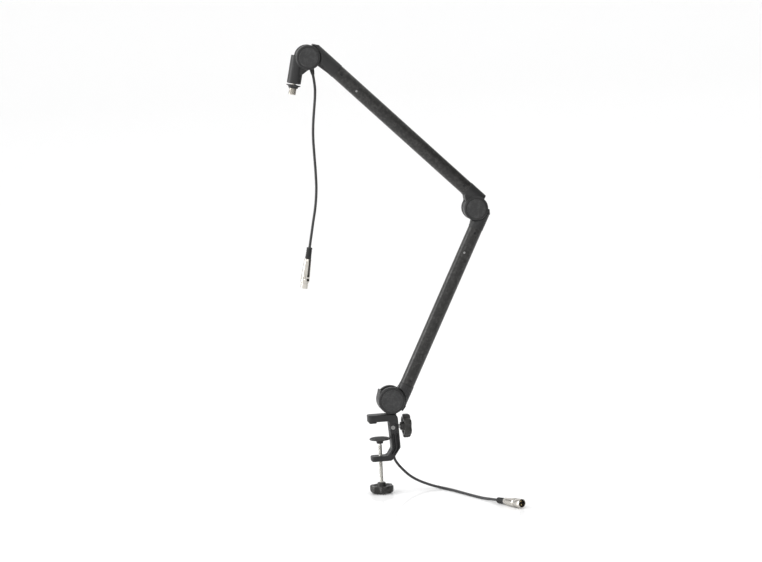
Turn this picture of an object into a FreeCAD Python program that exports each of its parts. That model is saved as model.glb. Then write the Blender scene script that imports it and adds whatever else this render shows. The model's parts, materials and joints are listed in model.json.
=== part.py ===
"""Desk-clamp microphone boom arm with a built-in balanced lead.

Millimetres, +Z up.  The arm folds in the XZ plane and the clamp jaws open towards -X.
The origin is on the clamp screw's axis, on the face of the upper jaw pad that rests on
the desk top, so everything below z = 0 is under the desk.
"""
import FreeCAD, Part
import math
import os
from FreeCAD import Placement, Rotation, Vector

X_AXIS = Vector(1, 0, 0)
Y_AXIS = Vector(0, 1, 0)
Z_AXIS = Vector(0, 0, 1)
ORIGIN = Vector(0, 0, 0)

# ---- driving dimensions -------------------------------------------------------------
FLOOR_Z = -150.0            # lowest point of the object, where it would stand on a floor

# clamp frame
CLAMP_WIDTH = 26.0
JAW_TOP_Z = 17.5
JAW_UNDER_Z = 3.0           # the jaw pad is as thick as this
LOWER_JAW_TOP_Z = -70.0
LOWER_JAW_BOTTOM_Z = -81.0
UPPER_JAW_TIP_X = -24.5
LOWER_JAW_TIP_X = -20.5
SPINE_INNER_TOP_X = 19.4
SPINE_INNER_LOW_X = 23.5
SPINE_OUTER_TOP_X = 38.8
SPINE_OUTER_LOW_X = 41.9
SPINE_BEND_Z = -54.0

# swivel post in the top of the spine
POST_X = 27.0
POST_RADIUS = 5.0
POST_BORE_RADIUS = 3.1
POST_BOTTOM_Z = -19.0
POST_TOP_Z = 21.7
POST_GROOVE_RADIUS = 4.2
BUSH_WALL = 1.2
BUSH_FLANGE = 2.1
LOCK_Z = -10.5

# clamp screw and its pad
SCREW_RADIUS = 4.0
SCREW_PITCH = 1.25
PAD_RADIUS = 21.5
PAD_TOP_Z = -33.0
PAD_HUB_Z = -44.0
BALL_RADIUS = 4.6           # the screw's ball end, held in the pad's hub
BALL_NECK = 3.2
PAD_CHANNEL_GAP = 0.6       # air between the pad's rim and its channel in the spine
KNOB_RADIUS = 25.0
KNOB_LOBES = 6
SCREW_KNOB_TOP_Z = -127.0

# arm
BASE_PIVOT_Z = 47.0
LOWER_REACH = 437.0         # base pivot to elbow pivot
UPPER_REACH = 473.0         # elbow pivot to head pivot
LOWER_ANGLE = 26.5          # from vertical, towards +X
UPPER_ANGLE = -45.5
HEAD_ANGLE = 192.0          # the head socket points down, leaning to -X
TUBE_RADIUS = 15.0
TUBE_WALL = 1.6
TUBE_OFFSET = 19.0          # tube axis to pivot axis
COLLAR_RADIUS = 15.6        # the end mouldings stand a little proud of the tube
LOWER_TUBE_START = 42.5
LOWER_TUBE_END_GAP = 38.5
UPPER_TUBE_START = 41.0
UPPER_TUBE_END_GAP = 65.0
SPIGOT_LENGTH = 20.0
SPIGOT_WALL = 2.2

# pivots
CHEEK_RADIUS = 25.5         # elbow and head
DRUM_RADIUS = 28.5          # base
TONGUE_HALF = 7.0
TONGUE_RADIUS = 24.8
BASE_TONGUE_RADIUS = 21.6
ARM_LIP = 9.8               # how far a moulding's lip reaches round the disc, past its middle
BASE_LIP = 12.5
CHEEK_INNER = 8.2
CHEEK_OUTER = 18.0
COVER_THICKNESS = 1.6
WASHER_GAP = 0.1
BOLT_RADIUS = 4.0
BUSH_RADIUS = 5.6
RUNNING = 0.05              # radial clearance of a running fit
SWING = 0.8                 # air between parts that turn past each other

# head socket and microphone stud
SOCKET_END = 57.5
SOCKET_RADIUS = 14.6
STUD_RADIUS = 7.94          # 5/8 inch thread
STUD_NECK_RADIUS = 4.5
STUD_ROOT = 40.0
STUD_START = 60.0
STUD_END = 80.5
STUD_RELIEF = (67.1, 67.7)  # a shallow groove under the lock nut's end
LOCK_WASHER_START = 60.2
LOCK_WASHER_RADIUS = 14.5
LOCK_WASHER_THICKNESS = 2.3
LOCK_NUT_END = 67.0

# leads and connectors
BOOT_REAR_RADIUS = 5.8
BOOT_FRONT_RADIUS = 6.4
SHELL_RADIUS = 9.3
BARREL_RADIUS = 7.6
LEAD_RADIUS = 2.75
LEAD_CLEARANCE = 0.35
CONNECTOR_BOOT = 24.0
CONNECTOR_SHELL_END = 73.0
CONNECTOR_LENGTH = 86.0
PIN_FRONT = 80.0            # the male connector: its mouth, the bottom of its cup,
PIN_CUP = 65.0
PIN_SHELL_FULL = 54.0       # and where its shell reaches full radius

BASE_PIVOT = Vector(POST_X, 0, BASE_PIVOT_Z)


def swung(angle, along, across, y=0.0):
    """The point `along` an arm that leans by `angle`, and `across` it on its outer side."""
    a = math.radians(angle)
    x = along * math.sin(a) + across * math.cos(a)
    z = along * math.cos(a) - across * math.sin(a)
    return Vector(x, y, z)


ELBOW_PIVOT = BASE_PIVOT + swung(LOWER_ANGLE, LOWER_REACH, 0)
HEAD_PIVOT = ELBOW_PIVOT + swung(UPPER_ANGLE, UPPER_REACH, 0)
HEAD_EXIT = HEAD_PIVOT + Vector(8.6, 0, -27.0)          # the lead leaves the head moulding here
HEAD_EXIT_WAY = Vector(0.15, 0, -0.99).normalize()
HEAD_GLAND_END = HEAD_EXIT + HEAD_EXIT_WAY * 9.0


# ---- helpers ------------------------------------------------------------------------
def export(name, *solids):
    """One STEP file for a node; identical fasteners share one as separate solids."""
    for solid in solids:
        if not solid.isValid() or len(solid.Solids) != 1:
            raise ValueError("%s: %d solids, valid %s" % (name, len(solid.Solids), solid.isValid()))
    shape = solids[0] if len(solids) == 1 else Part.makeCompound(list(solids))
    shape.exportStep("parts/%s.step" % name)
    box = shape.BoundBox
    print("%-22s %9.1f mm3  z %.1f to %.1f" % (name, shape.Volume, box.ZMin, box.ZMax))


def joined(*shapes):
    body = shapes[0].multiFuse(list(shapes[1:])).removeSplitter()
    return body.Solids[0] if len(body.Solids) == 1 else body


def without(body, *tools):
    cut = body.cut(list(tools)).removeSplitter()
    return cut.Solids[0] if len(cut.Solids) == 1 else cut


def rod(radius, start, end):
    return Part.makeCylinder(radius, (end - start).Length, start, end - start)


def across(radius, y0, y1, x=0.0, z=0.0):
    """A cylinder that lies along Y."""
    return Part.makeCylinder(radius, y1 - y0, Vector(x, y0, z), Y_AXIS)


def slab(points, y0, y1):
    """A polygon in XZ, given as (x, z), made solid from y0 to y1."""
    corners = [Vector(x, y0, z) for x, z in points]
    face = Part.Face(Part.makePolygon(corners + corners[:1]))
    return face.extrude(Vector(0, y1 - y0, 0))


def rounded_outline(points):
    """A closed wire at y = 0 through (x, z, radius) corners, each rounded by its radius."""
    count = len(points)
    starts = []
    edges = []
    for i, (x, z, radius) in enumerate(points):
        corner = Vector(x, 0, z)
        before = Vector(points[i - 1][0], 0, points[i - 1][1])
        after = Vector(points[(i + 1) % count][0], 0, points[(i + 1) % count][1])
        back = (before - corner).normalize()
        ahead = (after - corner).normalize()
        half = back.getAngle(ahead) / 2
        if radius == 0:
            starts.append((corner, corner))
            continue
        reach = radius / math.tan(half)
        entry = corner + back * reach
        leave = corner + ahead * reach
        middle_way = (back + ahead).normalize()
        middle = corner + middle_way * (radius / math.sin(half) - radius)
        starts.append((entry, leave))
        edges.append((i, Part.Arc(entry, middle, leave).toShape()))
    arcs = dict(edges)
    loop = []
    for i in range(count):
        if i in arcs:
            loop.append(arcs[i])
        loop.append(Part.makeLine(starts[i][1], starts[(i + 1) % count][0]))
    return Part.Wire(loop)


def turned(profile):
    """A solid of revolution about Z from (radius, z) corners."""
    corners = [Vector(r, 0, z) for r, z in profile]
    face = Part.Face(Part.makePolygon(corners + corners[:1]))
    return face.revolve(ORIGIN, Z_AXIS, 360)


def thread_profile(radius, depth, pitch, start, end):
    """(radius, z) corners of thread ridges, drawn as rings."""
    corners = []
    for i in range(int((end - start) / pitch)):
        corners.append((radius - depth, start + i * pitch))
        corners.append((radius, start + (i + 0.5) * pitch))
    return corners + [(radius - depth, end)]


def aimed(shape, at, direction):
    """Moves a shape made along +Z so that it starts at `at` and points along `direction`."""
    moved = shape.copy()
    moved.Placement = Placement(at, Rotation(Z_AXIS, direction)) * moved.Placement
    return moved


def leaned(shape, pivot, angle):
    """Moves a shape made in an arm's own frame (pivot at the origin, arm along +Z)."""
    moved = shape.copy()
    moved.Placement = Placement(pivot, Rotation(Y_AXIS, angle)) * moved.Placement
    return moved


def flipped(shape):
    return shape.mirror(ORIGIN, X_AXIS)


def route_tube(points, radius):
    """A cord along `points`: straight runs joined by the largest even arcs they allow."""
    edges = []
    here = points[0]
    radii = []
    for before, corner, after in zip(points, points[1:], points[2:]):
        back = (before - corner).normalize()
        ahead = (after - corner).normalize()
        half_turn = (math.pi - back.getAngle(ahead)) / 2
        shorter = min((before - corner).Length, (after - corner).Length)
        reach = 0.45 * shorter
        bend = reach / math.tan(half_turn)
        radii.append(bend)
        entry = corner + back * reach
        leave = corner + ahead * reach
        middle_way = (back + ahead).normalize()
        middle = corner + middle_way * (bend / math.cos(half_turn) - bend)
        edges.append(Part.LineSegment(here, entry).toShape())
        edges.append(Part.Arc(entry, middle, leave).toShape())
        here = leave
    edges.append(Part.LineSegment(here, points[-1]).toShape())
    path = Part.Wire(edges)
    start = (points[1] - points[0]).normalize()
    section = Part.Wire(Part.Circle(points[0], start, radius).toShape())
    tube = path.makePipeShell([section], True, False)
    ideal = math.pi * radius ** 2 * path.Length
    print("  cord: length %.1f, arc radii %s" % (path.Length, ["%.0f" % r for r in radii]))
    print("  cord: volume %.0f, section x length %.0f" % (tube.Volume, ideal))
    return tube.Solids[0] if tube.Solids else Part.Solid(tube)


def star_knob(hub_radius, hub_length, body_length):
    """A lobed hand knob: the hub starts at the origin and the knob runs along +Z."""
    body = turned([(0, hub_length), (hub_radius, hub_length), (KNOB_RADIUS - 2.5, hub_length + 1.0),
                   (KNOB_RADIUS, hub_length + 4.0), (KNOB_RADIUS, hub_length + body_length - 5.0),
                   (KNOB_RADIUS - 5.0, hub_length + body_length - 1.5),
                   (8.0, hub_length + body_length), (0, hub_length + body_length)])
    hub = turned([(0, 0), (hub_radius - 0.8, 0), (hub_radius, 0.8),
                  (hub_radius + 1.2, hub_length), (hub_radius + 1.2, hub_length + 3.0),
                  (0, hub_length + 3.0)])
    scallop_radius = 9.0
    scallop_at = KNOB_RADIUS + 4.8
    scallops = []
    for i in range(KNOB_LOBES):
        angle = 2 * math.pi * (i + 0.5) / KNOB_LOBES
        at = Vector(scallop_at * math.cos(angle), scallop_at * math.sin(angle), hub_length - 1.0)
        scallops.append(Part.makeCylinder(scallop_radius, body_length + 2.0, at))
    dish = turned([(hub_radius + 1.2, hub_length - 1.0), (KNOB_RADIUS - 5.0, hub_length - 1.0),
                   (KNOB_RADIUS - 7.5, hub_length + 3.0), (hub_radius + 1.2, hub_length + 3.0)])
    return joined(without(body, dish, *scallops), hub)


# ---- clamp --------------------------------------------------------------------------
# the lead leaves the post's lower end, turns to the rear and comes out pointing down
OUTLET_BEND = 10.75
OUTLET_WAY = Vector(0.2186, 0.9758, 0)
OUTLET_TOP_Z = -20.0
OUTLET = Vector(POST_X, 0, 0) + OUTLET_WAY * (2 * OUTLET_BEND)
OUTLET_Z = OUTLET_TOP_Z - 2 * OUTLET_BEND


def outlet_path(top_z, bottom_z):
    """The lead's S-shaped way from the post's bore to the rear outlet."""
    def at(reach, z):
        return Vector(POST_X, 0, z) + OUTLET_WAY * reach
    slant = OUTLET_BEND * math.sqrt(0.5)
    upper_end = at(OUTLET_BEND, OUTLET_TOP_Z - OUTLET_BEND)
    edges = [
        Part.makeLine(at(0, top_z), at(0, OUTLET_TOP_Z)),
        Part.Arc(at(0, OUTLET_TOP_Z), at(OUTLET_BEND - slant, OUTLET_TOP_Z - slant), upper_end).toShape(),
        Part.Arc(upper_end, at(OUTLET_BEND + slant, OUTLET_TOP_Z - 2 * OUTLET_BEND + slant),
                 at(2 * OUTLET_BEND, OUTLET_Z)).toShape(),
    ]
    if bottom_z < OUTLET_Z:
        edges.append(Part.makeLine(at(2 * OUTLET_BEND, OUTLET_Z), at(2 * OUTLET_BEND, bottom_z)))
    return Part.Wire(edges)


def piped(path, radius):
    start = path.OrderedEdges[0]
    first = start.Vertexes[0].Point
    section = Part.Wire(Part.Circle(first, Z_AXIS, radius).toShape())
    return path.makePipeShell([section], True, False).Solids[0]


def clamp_frame():
    half = CLAMP_WIDTH / 2
    outline = rounded_outline([
        (UPPER_JAW_TIP_X, JAW_UNDER_Z, 2.0),
        (UPPER_JAW_TIP_X, JAW_TOP_Z, 2.0),
        (SPINE_OUTER_TOP_X - 0.6, JAW_TOP_Z, 10.0),
        (SPINE_OUTER_LOW_X, SPINE_BEND_Z, 7.0),
        (23.0, LOWER_JAW_BOTTOM_Z, 9.0),
        (LOWER_JAW_TIP_X, LOWER_JAW_BOTTOM_Z, 3.0),
        (LOWER_JAW_TIP_X, LOWER_JAW_TOP_Z, 2.0),
        (14.5, LOWER_JAW_TOP_Z, 8.0),
        (SPINE_INNER_LOW_X, SPINE_BEND_Z - 1.0, 7.0),
        (SPINE_INNER_TOP_X, JAW_UNDER_Z, 3.0),
    ])
    body = Part.Face(outline).extrude(Vector(0, CLAMP_WIDTH, 0)).translated(Vector(0, -half, 0))
    body = body.makeFillet(1.6, [e for e in body.Edges if abs(abs(e.CenterOfMass.y) - half) < 1e-4])
    # in plan both jaws end in a round nose
    nose = 9.0
    for tip, low, high in ((UPPER_JAW_TIP_X, JAW_UNDER_Z, JAW_TOP_Z),
                           (LOWER_JAW_TIP_X, LOWER_JAW_BOTTOM_Z, LOWER_JAW_TOP_Z)):
        for side in (-1, 1):
            block = Part.makeBox(nose + 1, nose + 1, high - low + 2,
                                 Vector(tip - 1, half - nose if side > 0 else -half - 1, low - 1))
            round_nose = Part.makeCylinder(nose, high - low + 2,
                                           Vector(tip + nose, side * (half - nose), low - 1))
            body = body.cut(block.cut(round_nose))
    # lightening pockets with a rib down the middle; the rear one stays below the lead's outlet
    def pocket_pair(top_z, y0, y1):
        def spine_x(z, top, low):
            return top + (low - top) * (JAW_UNDER_Z - z) / (JAW_UNDER_Z - SPINE_BEND_Z)
        inner_top = spine_x(top_z, SPINE_INNER_TOP_X, SPINE_INNER_LOW_X) + 3.2
        outer_top = spine_x(top_z, SPINE_OUTER_TOP_X, SPINE_OUTER_LOW_X) - 3.2
        middle_top = (inner_top + outer_top) / 2
        left = rounded_outline([
            (inner_top, top_z, 1.5), (middle_top - 1.4, top_z, 1.5),
            (31.4, SPINE_BEND_Z - 1.5, 2.0), (24.6, -67.0, 1.2), (21.6, -65.2, 1.2),
            (SPINE_INNER_LOW_X + 3.2, SPINE_BEND_Z, 2.0)])
        right = rounded_outline([
            (middle_top + 1.4, top_z, 1.5), (outer_top, top_z, 1.5),
            (SPINE_OUTER_LOW_X - 3.6, SPINE_BEND_Z - 0.5, 3.0), (28.4, -69.4, 1.2), (26.6, -68.2, 1.0),
            (34.2, SPINE_BEND_Z - 1.5, 2.0)])
        return [Part.Face(w).extrude(Vector(0, y1 - y0, 0)).translated(Vector(0, y0, 0))
                for w in (left, right)]
    depth = 4.5
    body = body.cut(pocket_pair(-23.0, -half - 1, -half + depth))
    body = body.cut(pocket_pair(-47.0, half - depth, half + 1))
    # boss round the retaining screw, threaded boss for the lock stud, rear outlet for the lead
    boss = across(7.6, -half - 1.5, -half + 4, POST_X + 1.0, LOCK_Z)
    rear = rod(7.2, OUTLET + Vector(0, 0, OUTLET_Z), OUTLET + Vector(0, 0, -19.0))
    rear_web = Part.makeBox(12.0, OUTLET.y, -21.0 - OUTLET_Z, Vector(POST_X + 0.5, 3.0, OUTLET_Z))
    top_boss = Part.makeCylinder(10.5, 10.0, Vector(POST_X, 0, JAW_TOP_Z - 10.0))
    body = joined(body, boss, rear, rear_web, top_boss)
    pin_hole = across(2.55, -half - 3, 0, POST_X, LOCK_Z)
    pin_seat = across(5.0, -half - 3, -half + 1.5, POST_X, LOCK_Z)
    stud_hole = rod(SCREW_RADIUS + RUNNING, Vector(POST_X, 0, LOCK_Z), Vector(60, 0, LOCK_Z))
    bush_bore = Part.makeCylinder(POST_RADIUS + BUSH_WALL, JAW_TOP_Z + 5, Vector(POST_X, 0, -3.0))
    post_bore = Part.makeCylinder(POST_RADIUS + 0.3, 20, Vector(POST_X, 0, POST_BOTTOM_Z - 0.5))
    lead_way = piped(outlet_path(POST_BOTTOM_Z, OUTLET_Z - 5), LEAD_RADIUS + LEAD_CLEARANCE)
    screw_hole = Part.makeCylinder(SCREW_RADIUS + RUNNING, 40, Vector(0, 0, LOWER_JAW_TOP_Z - 20))
    pad_seat = Part.makeBox(14.0, 18.0, 2.0, Vector(-21.0, -9.0, JAW_UNDER_Z - 1.0))
    channel = Part.makeCylinder(PAD_RADIUS + PAD_CHANNEL_GAP, 61.0, Vector(0, 0, -62.0))
    return without(body, pin_hole, pin_seat, stud_hole, bush_bore, post_bore, lead_way,
                   screw_hole, pad_seat, channel)


def upper_jaw_pad():
    outline = rounded_outline([(-21.0, JAW_UNDER_Z + 1.0, 0), (-21.0, JAW_UNDER_Z, 0),
                               (-22.0, JAW_UNDER_Z, 0), (-22.0, 0.0, 2.4), (-6.0, 0.0, 2.4),
                               (-6.0, JAW_UNDER_Z, 0), (-7.0, JAW_UNDER_Z, 0),
                               (-7.0, JAW_UNDER_Z + 1.0, 0)])
    return Part.Face(outline).extrude(Vector(0, 18, 0)).translated(Vector(0, -9, 0))


def clamp():
    export("clamp_frame", clamp_frame())
    export("upper_jaw_pad", upper_jaw_pad())
    flange = turned([(POST_RADIUS + RUNNING, JAW_TOP_Z), (10.0, JAW_TOP_Z),
                     (10.0, JAW_TOP_Z + BUSH_FLANGE), (POST_RADIUS + RUNNING, JAW_TOP_Z + BUSH_FLANGE)])
    sleeve = turned([(POST_RADIUS + RUNNING, -3.0), (POST_RADIUS + BUSH_WALL, -3.0),
                     (POST_RADIUS + BUSH_WALL, JAW_TOP_Z), (POST_RADIUS + RUNNING, JAW_TOP_Z)])
    export("post_bush", joined(flange, sleeve).translated(Vector(POST_X, 0, 0)))
    pin = joined(across(2.5, -14.4, -POST_GROOVE_RADIUS - 0.3, POST_X, LOCK_Z),
                 across(4.2, -14.4, -11.5, POST_X, LOCK_Z))
    socket = Part.makeBox(4.4, 1.8, 1.2, Vector(POST_X - 2.2, -15.0, LOCK_Z - 0.6))
    cross = Part.makeBox(1.2, 1.8, 4.4, Vector(POST_X - 0.6, -15.0, LOCK_Z - 2.2))
    export("retaining_screw", without(pin, socket, cross))


def clamp_screw():
    tip_z = PAD_TOP_Z - 7.0
    root = SCREW_KNOB_TOP_Z - 12
    thread = thread_profile(SCREW_RADIUS, 0.6, SCREW_PITCH, SCREW_KNOB_TOP_Z + 2.6, PAD_HUB_Z - 3.0)
    shank = turned([(0, root), (SCREW_RADIUS, root), (SCREW_RADIUS, SCREW_KNOB_TOP_Z + 2.0)] + thread
                   + [(BALL_NECK, PAD_HUB_Z - 2.0), (BALL_NECK, tip_z - 2.0), (0, tip_z - 2.0)])
    screw = joined(shank, Part.makeSphere(BALL_RADIUS, Vector(0, 0, tip_z)))
    export("clamp_screw", screw)
    knob = star_knob(8.4, 6.0, -FLOOR_Z + SCREW_KNOB_TOP_Z - 6.0)
    knob = knob.mirror(ORIGIN, Z_AXIS).translated(Vector(0, 0, SCREW_KNOB_TOP_Z))
    seat = Part.makeCylinder(SCREW_RADIUS, 13, Vector(0, 0, SCREW_KNOB_TOP_Z - 12))
    export("screw_knob", without(knob, seat))
    rim = PAD_TOP_Z - 2.6
    saucer = turned([(0, PAD_TOP_Z - 1.2), (PAD_RADIUS - 3.0, PAD_TOP_Z - 1.2),
                     (PAD_RADIUS - 3.0, PAD_TOP_Z - 0.2), (PAD_RADIUS - 1.0, PAD_TOP_Z - 0.2),
                     (PAD_RADIUS, PAD_TOP_Z - 1.2), (PAD_RADIUS, rim),
                     (11.0, rim - 1.6), (7.4, rim - 4.5), (6.6, PAD_HUB_Z), (0, PAD_HUB_Z)])
    cup = joined(Part.makeSphere(BALL_RADIUS + 0.3, Vector(0, 0, tip_z)),
                 Part.makeCylinder(BALL_RADIUS - 0.3, 20, Vector(0, 0, tip_z - 20)))
    export("swivel_pad", without(saucer, cup))
    export("pad_facing", turned([(0, PAD_TOP_Z - 1.2), (PAD_RADIUS - 3.0, PAD_TOP_Z - 1.2),
                                 (PAD_RADIUS - 3.0, PAD_TOP_Z - 0.5), (PAD_RADIUS - 3.5, PAD_TOP_Z),
                                 (0, PAD_TOP_Z)]))


def lock_knob():
    tip = POST_X + POST_GROOVE_RADIUS + 0.3
    start = 44.5
    stud = joined(rod(SCREW_RADIUS, Vector(tip + 1.5, 0, LOCK_Z), Vector(start + 12, 0, LOCK_Z)),
                  rod(2.8, Vector(tip, 0, LOCK_Z), Vector(tip + 2, 0, LOCK_Z)))
    export("lock_stud", stud)
    knob = star_knob(8.6, 5.5, 17.5)
    knob = aimed(knob, Vector(start, 0, LOCK_Z), X_AXIS)
    seat = rod(SCREW_RADIUS + RUNNING, Vector(start - 1, 0, LOCK_Z), Vector(start + 12, 0, LOCK_Z))
    export("lock_knob", without(knob, seat))


# ---- pivots -------------------------------------------------------------------------
def pivot_hardware(name, pivot, cheek_radius):
    """Bolt, nut, washers and covers that turn with the cheeks."""
    hexagon = Part.Face(Part.makePolygon([Vector(7.5 * math.cos(math.radians(60 * i)), 0,
                                                 7.5 * math.sin(math.radians(60 * i))) for i in range(7)]))
    head = hexagon.extrude(Vector(0, 4.6, 0)).translated(Vector(0, -CHEEK_OUTER + 0.9, 0))
    bolt = joined(head, across(BOLT_RADIUS, -CHEEK_OUTER + 5.5, CHEEK_OUTER - 0.8))
    export(name + "_pivot_bolt", leaned(bolt, pivot, 0))
    nut = hexagon.extrude(Vector(0, 4.6, 0)).translated(Vector(0, CHEEK_OUTER - 5.8, 0))
    export(name + "_pivot_nut", leaned(without(nut, across(BOLT_RADIUS, 0, 30)), pivot, 0))
    rings = []
    for side in (-1, 1):
        inner = side * (TONGUE_HALF + WASHER_GAP)
        outer = side * CHEEK_INNER
        ring = across(cheek_radius - 6.5, min(inner, outer), max(inner, outer))
        rings.append(leaned(without(ring, across(BUSH_RADIUS + 0.6, -30, 30)), pivot, 0))
    export(name + "_friction_washers", *rings)
    covers = []
    for side in (-1, 1):
        plate = turned([(0, 0), (cheek_radius - 5.6, 0), (cheek_radius - 5.6, COVER_THICKNESS - 0.7),
                        (cheek_radius - 6.6, COVER_THICKNESS), (0, COVER_THICKNESS)])
        ring = turned([(7.6, -1.6), (8.7, -1.6), (8.7, 0), (7.6, 0)])
        cover = joined(plate, ring)
        covers.append(aimed(cover, pivot + Vector(0, side * CHEEK_OUTER, 0), Vector(0, side, 0)))
    export(name + "_covers", *covers)


def cheek_pair(radius):
    """Two round cheeks with seats for the bolt head and nut, in the pivot's own frame."""
    cheeks = []
    for side in (-1, 1):
        plate = turned([(0, CHEEK_INNER), (radius - 0.6, CHEEK_INNER), (radius, CHEEK_INNER + 0.6),
                        (radius, CHEEK_OUTER - 2.0), (radius - 2.0, CHEEK_OUTER), (0, CHEEK_OUTER)])
        cheeks.append(aimed(plate, ORIGIN, Vector(0, side, 0)))
    return cheeks


def pivot_cuts():
    """Bolt hole and the two hexagon pockets, rounded."""
    return [across(BOLT_RADIUS, -30, 30),
            across(8.7, CHEEK_OUTER - 6.0, CHEEK_OUTER + 5),
            across(8.7, -CHEEK_OUTER - 5, -CHEEK_OUTER + 5.5)]


def limb(start_along, end_along, radius):
    """The round body that carries a tube, parallel to the arm and offset from the pivot."""
    return Part.makeCylinder(radius, end_along - start_along, Vector(TUBE_OFFSET, 0, start_along))


def spigot(tube_start):
    outer = TUBE_RADIUS - TUBE_WALL
    return turned([(outer - SPIGOT_WALL, tube_start - 2.0), (outer, tube_start - 2.0),
                   (outer, tube_start + SPIGOT_LENGTH - 1.0), (outer - 1.0, tube_start + SPIGOT_LENGTH),
                   (outer - SPIGOT_WALL, tube_start + SPIGOT_LENGTH)]).translated(Vector(TUBE_OFFSET, 0, 0))


def limb_hollow(start, tube_start):
    """The inside of a moulding, where the lead and the spring's rod pass."""
    return Part.makeCylinder(TUBE_RADIUS - TUBE_WALL - SPIGOT_WALL, tube_start - start + 40,
                             Vector(TUBE_OFFSET, 0, start))


def forked_end(limb_end, radius):
    """A moulding with two cheeks: they hold the tongue of the piece beside it."""
    inner = TUBE_OFFSET - radius + 1.0
    neck = slab([(-6.0, 24.6), (-2.2, 27.5), (inner, 36.0), (TUBE_OFFSET, 36.0),
                 (TUBE_OFFSET + 8, 24), (TUBE_OFFSET + 4, 0)], -13.0, 13.0)
    body = joined(limb(0, limb_end, radius), neck, *cheek_pair(CHEEK_RADIUS))
    slot = across(CHEEK_RADIUS + 1.6, -CHEEK_INNER, CHEEK_INNER)
    return without(body, slot, *pivot_cuts())


def tongued_end(tube_start, cheek_radius, tongue_radius, lip_depth):
    """A moulding with one central tongue, hollowed round the cheeks that grip it."""
    clear = cheek_radius + SWING
    lip = slab([(TUBE_OFFSET + COLLAR_RADIUS - 0.8, 0.5), (clear + 1.6, -lip_depth),
                (clear - 2.0, 1.0 - lip_depth), (clear - 0.5, 0.5)], -11.5, 11.5)
    body = joined(limb(0, tube_start, COLLAR_RADIUS), lip)
    recess = [across(clear, TONGUE_HALF, 30), across(clear, -30, -TONGUE_HALF)]
    tongue = across(tongue_radius, -TONGUE_HALF, TONGUE_HALF)
    bar = slab([(-0.5, 10), (4.5, tube_start - 4), (TUBE_OFFSET + COLLAR_RADIUS - 4, tube_start - 4),
                (TUBE_OFFSET + COLLAR_RADIUS - 1.5, 0), (clear + 1.6, 0.8 - lip_depth), (10, -4)],
               -TONGUE_HALF, TONGUE_HALF)
    body = joined(without(body, *recess), tongue, bar)
    body = without(body, across(BUSH_RADIUS, -30, 30), limb_hollow(32.5, tube_start))
    return joined(body, spigot(tube_start))


def pivot_bush(name, pivot):
    bush = without(across(BUSH_RADIUS, -TONGUE_HALF, TONGUE_HALF), across(BOLT_RADIUS + RUNNING, -30, 30))
    export(name + "_pivot_bush", leaned(bush, pivot, 0))


# ---- base ---------------------------------------------------------------------------
def base_knuckle():
    """The drum on the swivel post: two cheeks, closed at the rear and bottom by a rim."""
    rim_inner = 22.5
    ring = without(across(DRUM_RADIUS, -CHEEK_INNER, CHEEK_INNER), across(rim_inner, -30, 30))
    # the rim is open for the arm, from 44 degrees on the jaw side to the limit at the rear
    opening = slab([(0, 0)] + [(80 * math.sin(math.radians(a)), 80 * math.cos(math.radians(a)))
                               for a in (-44, 0, 60, 110, 157)], -CHEEK_INNER, CHEEK_INNER)
    rim = ring.cut(opening)
    stop = slab([(-19.0, 18.2), (-21.9, 23.6), (-24.2, 21.4), (-28.3, 4.0), (-24, 2)], -14.0, 14.0)
    body = joined(rim, stop, *cheek_pair(DRUM_RADIUS))
    body = without(body, across(rim_inner, -CHEEK_INNER, CHEEK_INNER), *pivot_cuts())
    foot_z = JAW_TOP_Z + BUSH_FLANGE + 0.1 - BASE_PIVOT_Z
    below = Part.makeBox(80, 60, 20, Vector(-40, -30, foot_z - 20))
    foot = turned([(0, foot_z), (9.2, foot_z), (12.0, foot_z + 3.2), (0, foot_z + 3.2)])
    body = joined(without(body, below), foot)
    lead_hole = Part.makeCylinder(POST_BORE_RADIUS, 12, Vector(0, 0, foot_z - 1))
    post_hole = Part.makeCylinder(POST_RADIUS, 3.0, Vector(0, 0, foot_z - 1))
    return leaned(without(body, lead_hole, post_hole), BASE_PIVOT, 0)


def base():
    export("base_knuckle", base_knuckle())
    post = turned([(POST_BORE_RADIUS, POST_BOTTOM_Z), (POST_RADIUS - 0.6, POST_BOTTOM_Z),
                   (POST_RADIUS, POST_BOTTOM_Z + 0.6), (POST_RADIUS, LOCK_Z - 4.2),
                   (POST_GROOVE_RADIUS, LOCK_Z - 3.4), (POST_GROOVE_RADIUS, LOCK_Z + 4.6),
                   (POST_RADIUS, LOCK_Z + 5.4), (POST_RADIUS, POST_TOP_Z), (POST_BORE_RADIUS, POST_TOP_Z)])
    export("swivel_post", post.translated(Vector(POST_X, 0, 0)))
    pivot_hardware("base", BASE_PIVOT, DRUM_RADIUS)


# ---- arms ---------------------------------------------------------------------------
SPRING_SHIFT = -4.2         # the spring sits towards the pivots, the lead runs beside it
SPRING_RADIUS = 8.4
SPRING_WIRE = 1.8
HOOK_RADIUS = SPRING_RADIUS - SPRING_WIRE / 2
HOOK_WIRE = 1.6
PIN_RADIUS = 2.2
PIN_AHEAD = HOOK_RADIUS - HOOK_WIRE / 2 - PIN_RADIUS - 0.1   # the fixed pin, past the coil's end
EYE_PIN_RADIUS = 1.2
LEAD_SHIFT = 8.2            # the lead passes inside the spigots


def spring(start, end):
    """A close-wound extension spring as its envelope, with a half-loop hook at each end."""
    coil = turned([(SPRING_RADIUS - SPRING_WIRE, start), (SPRING_RADIUS, start), (SPRING_RADIUS, end),
                   (SPRING_RADIUS - SPRING_WIRE, end)])
    hooks = []
    for at, keep_from in ((start, start - 20), (end, end - 0.6)):
        loop = Part.makeTorus(HOOK_RADIUS, HOOK_WIRE / 2, Vector(0, 0, at), Y_AXIS)
        hooks.append(loop.common(Part.makeBox(40, 40, 20.6, Vector(-20, -20, keep_from))))
    return joined(coil, *hooks).translated(Vector(TUBE_OFFSET + SPRING_SHIFT, 0, 0))


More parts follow.
